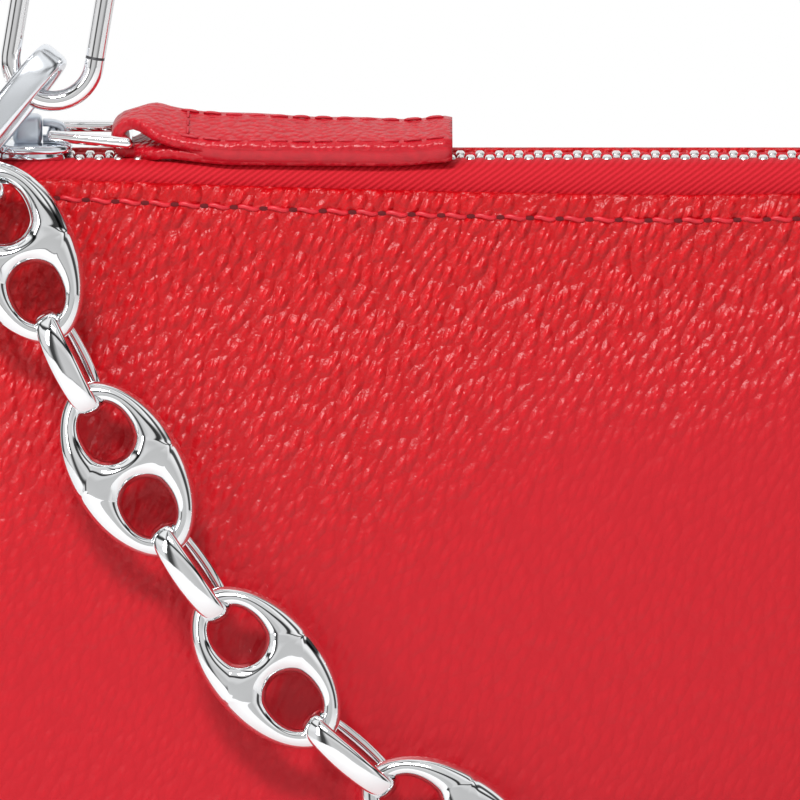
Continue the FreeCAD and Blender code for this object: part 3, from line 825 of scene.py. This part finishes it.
def edge_radius(angle):
    """From the hole's middle to the link's edge or its middle line, by halving."""
    low, high = 0.0, 20.0
    for _ in range(40):
        r = 0.5 * (low + high)
        u, v = from_hole(r, angle)
        if -1e-9 <= u <= LINK_HALF_LENGTH and abs(v) <= link_half_width(u):
            low = r
        else:
            high = r
    return low


def link_height(u, v, rim_distance):
    """Height of the puffed surface, which falls to nothing at the link's edge and the hole's rim."""
    slope = (link_half_width(u + 0.05) - link_half_width(u - 0.05)) / 0.1
    edge_distance = (link_half_width(u) - abs(v)) / math.hypot(1, slope)
    outer = clamp(edge_distance / 2.3, 0.0, 1.0)
    inner = clamp(rim_distance / 1.9, 0.0, 1.0)
    body = 1.15 + 1.25 * (1 - (min(abs(u), 12.5) / 12.5) ** 2)
    return body * (1.05 * math.sqrt(1 - (1 - outer) ** 2) * math.sqrt(1 - (1 - inner) ** 2))


def link_mesh():
    """A coarse cage of a puffed pointed oval with two holes, laid in polar rows about one hole and mirrored;
    a subdivision rounds it."""
    # rows at even angles out to the edge, then rows to points on the link's middle line, then their mirror
    corner = math.atan2(link_half_width(0), -HOLE_CENTRE)
    fan = [corner * i / 7 for i in range(8)]
    fan += [math.pi - math.atan2(v, HOLE_CENTRE) for v in (6.75, 6.1, 4.9, 3.3, 1.6, 0.0)]
    fan += [-a for a in fan[-2:0:-1]]
    verts, lookup, faces = [], {}, []

    def vertex(*point):
        key = tuple(round(q, 2) for q in point)
        if key not in lookup:
            lookup[key] = len(verts)
            verts.append(point)
        return lookup[key]

    for mirror, layer in ((1, 1), (1, -1), (-1, 1), (-1, -1)):
        index = []
        for angle in fan:
            rim, edge = hole_radius(angle), edge_radius(angle)
            row = []
            for share in LINK_SHARES:
                r = rim + (edge - rim) * share
                u, v = from_hole(r, angle)
                height = link_height(u, v, r - rim)
                if abs(angle) > corner + 1e-6 and share == 1.0:
                    u = 0.0
                row.append(vertex(mirror * u, v, layer * height))
            index.append(row)
        for row, next_row in zip(index, index[1:] + index[:1]):
            for k in range(len(LINK_SHARES) - 1):
                quad = (row[k], row[k + 1], next_row[k + 1], next_row[k])
                faces.append(quad if mirror * layer > 0 else quad[::-1])
    return verts, faces


def ring_mesh(length, inner_width, domed=True):
    """A band bent to a long oval, its length along X and its opening along Z. A domed one is widest half way
    along its legs. The other kind is squarer."""
    rise, sink = (0.88, 0.50) if domed else (1.0, 0.75)
    rise_power, band_power = (1.0, 0.75) if domed else (0.6, 0.55)
    reach_x = length / 2 - rise
    reach_z = inner_width / 2 + sink
    steps, sides = 64, 24

    def middle_line(angle):
        c, s = signed_power(math.cos(angle), 2 / 2.6), signed_power(math.sin(angle), 2 / 2.6)
        return reach_x * c, reach_z * s

    verts = []
    for step in range(steps):
        angle = circle_angle(step, steps, 0.5)
        x, z = middle_line(angle)
        (x0, z0), (x1, z1) = middle_line(angle - 0.01), middle_line(angle + 0.01)
        length_ahead = math.hypot(x1 - x0, z1 - z0)
        nx, nz = (z1 - z0) / length_ahead, -(x1 - x0) / length_ahead
        half_band = 1.5 + 0.32 * (1 - abs(x) / reach_x) ** 0.7 if domed else 1.95
        for k in range(sides):
            a = circle_angle(k, sides, 0.5)
            c, s = math.cos(a), math.sin(a)
            out = rise * c ** rise_power if c > 0 else -sink * abs(c) ** 0.6
            verts.append((x + nx * out, half_band * signed_power(s, band_power), z + nz * out))
    last = (steps - 1) * sides
    faces = grid_faces(steps, sides, True)
    faces += [(last + c, last + (c + 1) % sides, (c + 1) % sides, c) for c in range(sides)]
    return verts, faces


def place_link(name, shape, matrix, mirrored, body, node):
    verts, faces = shape
    moved = [matrix @ Vector(v) for v in verts]
    if mirrored:
        moved = [Vector((-p.x, p.y, p.z)) for p in moved]
        faces = turned(faces)
    obj = make_object(name, [tuple(p) for p in moved], faces, CHROME)
    finish_piece(obj, body, "chain_metal", node)
    return obj


def build_chain():
    """Nine puffed links with ten rings between and beyond them, from the middle out to both sides."""
    link, ring, end_ring = link_mesh(), ring_mesh(14.8, 5.4), ring_mesh(17.5, 7.6)
    for step in range(5):
        place = chain_matrix(step * PAIR)
        pair = [(5 + step, False), (5 - step, True)] if step else [(5, False)]
        for number, mirrored in pair:
            name, node = "puffed_link_%d" % number, "mariner_link_%d" % number
            soften(place_link(name, link, place, mirrored, "chain", node), 3)
    roll = Matrix.Rotation(math.radians(15.0), 4, "X")
    pivot = Matrix.Translation((-8.75, 0, 0))
    lean = pivot @ Matrix.Rotation(math.radians(-7.0), 4, "Z") @ pivot.inverted()
    for step in range(5):
        last = step == 4
        place = chain_matrix((step + 0.5) * PAIR) @ (lean if last else roll)
        pair = [(6 + step, False, "end_ring_right"), (5 - step, True, "end_ring_left")]
        for number, mirrored, end_body in pair:
            name, node = "oval_ring_%d" % number, "ring_link_%d" % number
            shape, body = (end_ring, end_body) if last else (ring, "chain")
            place_link(name, shape, place, mirrored, body, node)


# ---------------------------------------------------------------- zip metal
TOOTH_PITCH = 2.5
TOOTH_COUNT = 67
FIRST_TOOTH_X = -84.0
SLIDER_LEFT = -87.1
SLIDER_RIGHT = -77.4
UPPER_PLATE = (131.75, 132.85)  # from its lower face to its upper
LOWER_PLATE = (128.05, 129.1)


def build_teeth():
    """Each tooth is a foot clamped on the tape and a smaller head that reaches between the other row's."""
    for name, sign, shift in (("front", -1, 0.0), ("back", 1, TOOTH_PITCH / 2)):
        verts, faces = [], []
        for i in range(TOOTH_COUNT):
            x = FIRST_TOOTH_X + shift + TOOTH_PITCH * i
            knob((x, sign * 1.95, 130.55), (0.66, 1.15, 0.92), 0.62, verts, faces)
            knob((x, sign * 0.15, 130.45), (0.50, 1.05, 0.75), 0.70, verts, faces)
        teeth = make_object("teeth_" + name, verts, faces, TEETH)
        finish_piece(teeth, "bag", "zip_metal", "zip_teeth_" + name)


def build_slider():
    """The slider's two plates, its side flanges and the wedge between the rows of teeth."""
    plate = []
    for k in range(40):
        a = circle_angle(k, 40)
        x = 0.5 * (SLIDER_LEFT + SLIDER_RIGHT) + 4.85 * signed_power(math.cos(a), 0.42)
        waist = 4.25 - 0.9 * smooth(-81.5, -77.0, x)
        plate.append((x, waist * signed_power(math.sin(a), 0.42)))
    verts, faces = [], []
    for low, high in (UPPER_PLATE, LOWER_PLATE):
        rounded_slab(plate, low, high, 0.35, verts, faces)
    for sign in (-1, 1):
        flange = [(-86.3, sign * 3.1), (-78.6, sign * 2.9), (-78.6, sign * 3.45), (-86.3, sign * 3.8)]
        for low, high in ((130.95, 131.8), (129.05, 130.1)):
            rounded_slab(flange[::sign], low, high, 0.1, verts, faces)
    wedge = [(-87.0, -0.8), (-85.3, -0.35), (-85.3, 0.35), (-87.0, 0.8)]
    rounded_slab(wedge, 129.0, 131.8, 0.1, verts, faces)
    obj = make_object("slider_plates", verts, faces, SLIDER)
    finish_piece(obj, "slider", "slider_metal", "slider_body")


def build_crown():
    """The slider's crown: a solid rounded block, and the lower eye beside it that holds the bail."""
    verts, faces = [], []
    knob((-83.2, 0.0, 134.55), (1.95, 1.75, 1.95), 0.42, verts, faces)
    start, rows, sides = len(verts), 15, 12
    path = []
    for k in range(rows):
        a = math.pi * k / (rows - 1)
        path.append((-81.2 + 2.55 * math.sin(a) ** 0.7, 133.35 + 2.05 * (0.5 - 0.5 * math.cos(a))))
    for i, (x, z) in enumerate(path):
        (x0, z0), (x1, z1) = neighbours(path, i)
        length = math.hypot(x1 - x0, z1 - z0)
        nx, nz = (z1 - z0) / length, -(x1 - x0) / length
        for k in range(sides):
            a = circle_angle(k, sides, 0.5)
            out = 0.45 * signed_power(math.cos(a), 0.6)
            verts.append((x + nx * out, 1.15 * signed_power(math.sin(a), 0.5), z + nz * out))
    faces += tube_faces(rows, sides, start)
    obj = make_object("slider_crown", verts, faces, CROWN)
    finish_piece(obj, "slider", "slider_metal", "slider_bridge")


# ---------------------------------------------------------------- carabiner's link and gate
CLIP_LENGTH = 23.3
CLIP_TOP = Vector((-79.2, -5.95, 145.4))
CLIP_SLOPE = math.radians(50.9)
CLIP_ROLL = math.radians(12)
CARABINER_LOW = Vector((-79.8, -6.6, 144.4))
CARABINER_TILT = math.radians(9.5)
CARABINER_RADIUS = 5.35


def build_clip_ring():
    """The long flat link that slopes up from the end of the chain to the carabiner."""
    verts, faces = ring_mesh(CLIP_LENGTH, 5.0, domed=False)
    middle = CLIP_TOP - Vector((math.cos(CLIP_SLOPE), 0, math.sin(CLIP_SLOPE))) * (CLIP_LENGTH / 2)
    turn = Matrix.Rotation(math.pi / 2 - CLIP_ROLL, 4, "X")
    place = Matrix.Translation(middle) @ Matrix.Rotation(-CLIP_SLOPE, 4, "Y") @ turn
    obj = make_object("clip_ring", [tuple(place @ Vector(v)) for v in verts], faces, CLIP)
    finish_piece(obj, "carabiner_link", "hardware_metal", "carabiner_link")


def build_gate_parting():
    """The dark parting under the gate's nose: a thin near-black cap on the carabiner's open end, painted
    shade for the gap there.
    """
    up = Vector((math.sin(CARABINER_TILT), 0, math.cos(CARABINER_TILT)))
    side = Vector((math.cos(CARABINER_TILT), 0, -math.sin(CARABINER_TILT)))
    radius, sides = 1.22, 20
    verts = []
    for along in (0.90, 1.26):
        for k in range(sides):
            a = circle_angle(k, sides)
            across = side * (CARABINER_RADIUS + radius * math.cos(a))
            verts.append(tuple(CARABINER_LOW + up * along + across + Vector((0, radius * math.sin(a), 0))))
    obj = make_object("gate_parting", verts, tube_faces(2, sides), GAP)
    finish_piece(obj, "carabiner", "hardware_metal")


# ---------------------------------------------------------------- CAD pieces that stay
def dress(node, material, bevel=0.0):
    obj = NODES[node]
    obj.data.materials.clear()
    obj.data.materials.append(material)
    if bevel:
        rounded = obj.modifiers.new("edge", "BEVEL")
        rounded.width = bevel * MM
        rounded.segments = 2
        rounded.limit_method = "ANGLE"
        rounded.angle_limit = math.radians(35)


build_shell()
build_lining()
build_pocket()
build_stitching()
build_tape("front", -1)
build_tape("back", 1)
build_tape_ends()
build_pull_tab()
build_ring_tabs()
build_chain()
build_teeth()
build_slider()
build_crown()
build_clip_ring()
build_gate_parting()
for steel_node in ("carabiner_body", "carabiner_gate", "gate_pin", "strap_ring_left", "strap_ring_right"):
    dress(steel_node, HARDWARE)
dress("pull_bail", HARDWARE)
for stop_node in ("zip_bottom_stop", "zip_top_stops"):
    dress(stop_node, TEETH, bevel=0.16)
dress("base_board", BOARD)

# ---------------------------------------------------------------- studio
FLOOR_HALF = 0.55
FLOOR_Z = -0.0002


def build_floor():
    corners = [(-FLOOR_HALF, -FLOOR_HALF, FLOOR_Z), (FLOOR_HALF, -FLOOR_HALF, FLOOR_Z),
               (FLOOR_HALF, FLOOR_HALF, FLOOR_Z), (-FLOOR_HALF, FLOOR_HALF, FLOOR_Z)]
    mesh = bpy.data.meshes.new("floor")
    mesh.from_pydata(corners, [], [(0, 1, 2, 3)])
    floor = bpy.data.objects.new("floor", mesh)
    bpy.context.scene.collection.objects.link(floor)
    material, _, shader = node_material("floor_paint")
    shader.inputs["Base Color"].default_value = (0.86, 0.86, 0.86, 1)
    shader.inputs["Roughness"].default_value = 0.8
    mesh.materials.append(material)


def build_world():
    """White behind the bag, and in front of it light panels with dark gaps for the metal to mirror."""
    world = bpy.data.worlds.new("studio")
    bpy.context.scene.world = world
    world.use_nodes = True
    tree = world.node_tree
    back = tree.nodes["Background"]
    source = add(tree, "ShaderNodeTexCoord")
    split = add(tree, "ShaderNodeSeparateXYZ")
    tree.links.new(source.outputs["Generated"], split.inputs["Vector"])
    x, y, z = split.outputs
    angle = maths(tree, "ARCTAN2", x, maths(tree, "MULTIPLY", y, -1.0))
    turn = maths(tree, "ADD", maths(tree, "DIVIDE", angle, 2 * math.pi), 0.5)
    height = maths(tree, "ADD", maths(tree, "MULTIPLY", z, 0.5), 0.5)

    def grey(value, stops):
        return ramp(tree, value, [(at, (tone, tone, tone)) for at, tone in stops])

    # turn is 0.5 straight in front of the bag, 0 and 1 behind it, 0.75 to the right
    sides = grey(turn, [(0.0, 1.0), (0.17, 1.0), (0.20, 0.12), (0.235, 0.10), (0.26, 0.95), (0.35, 1.0),
                        (0.385, 0.06), (0.405, 0.08), (0.43, 0.78), (0.56, 0.72), (0.60, 1.0), (0.635, 1.0),
                        (0.655, 0.05), (0.70, 0.10), (0.725, 1.0), (0.78, 0.9), (0.80, 0.15), (0.83, 0.2),
                        (0.86, 1.0), (1.0, 1.0)])
    # height is 0 straight below, 0.5 level and 1 straight above
    levels = grey(height, [(0.0, 0.85), (0.36, 0.85), (0.40, 0.25), (0.43, 0.85), (0.60, 0.80), (0.66, 1.0),
                           (0.73, 1.0), (0.75, 0.05), (0.79, 0.05), (0.82, 1.0), (1.0, 1.0)])
    panels = add(tree, "ShaderNodeMix", data_type="RGBA", blend_type="MULTIPLY")
    panels.inputs["Factor"].default_value = 1.0
    tree.links.new(sides, panels.inputs["A"])
    tree.links.new(levels, panels.inputs["B"])
    behind = maths(tree, "GREATER_THAN", y, 0.55)
    backdrop = add(tree, "ShaderNodeMix", data_type="RGBA")
    tree.links.new(behind, backdrop.inputs["Factor"])
    tree.links.new(panels.outputs["Result"], backdrop.inputs["A"])
    backdrop.inputs["B"].default_value = (1, 1, 1, 1)
    tree.links.new(backdrop.outputs["Result"], back.inputs["Color"])
    back.inputs["Strength"].default_value = 1.0


def area_light(name, at, aim, size, power):
    data = bpy.data.lights.new(name, "AREA")
    data.shape = "RECTANGLE"
    data.size, data.size_y = size
    data.energy = power
    obj = bpy.data.objects.new(name, data)
    bpy.context.scene.collection.objects.link(obj)
    obj.location = at
    obj.rotation_euler = (Vector(aim) - Vector(at)).to_track_quat("-Z", "Y").to_euler()


build_floor()
build_world()
area_light("key", at=(-0.17, -0.42, 0.60), aim=(-0.03, 0, 0.10), size=(0.22, 0.10), power=3.3)
area_light("left", at=(-0.6, -0.5, 0.35), aim=(-0.03, 0, 0.09), size=(0.12, 0.35), power=0.8)

# ---------------------------------------------------------------- camera
TARGET = Vector((-0.0355, -0.012, 0.1013))
DISTANCE = 1.6
ELEVATION = math.radians(9.0)
VIEW_WIDTH = 0.1020408163      # how much of the bag the picture shows, from side to side
SENSOR_WIDTH = 36.0
camera_data = bpy.data.cameras.new("camera")
camera = bpy.data.objects.new("camera", camera_data)
bpy.context.scene.collection.objects.link(camera)
back_off = Vector((0, -math.cos(ELEVATION), math.sin(ELEVATION)))
camera.location = TARGET + back_off * DISTANCE
camera.rotation_mode = "QUATERNION"
camera.rotation_quaternion = (-back_off).to_track_quat("-Z", "Y")
camera_data.sensor_width = SENSOR_WIDTH
camera_data.lens = SENSOR_WIDTH * DISTANCE / VIEW_WIDTH
camera_data.clip_start = 0.05
camera_data.clip_end = 50.0
bpy.context.scene.camera = camera
bpy.context.scene.view_settings.view_transform = "Standard"
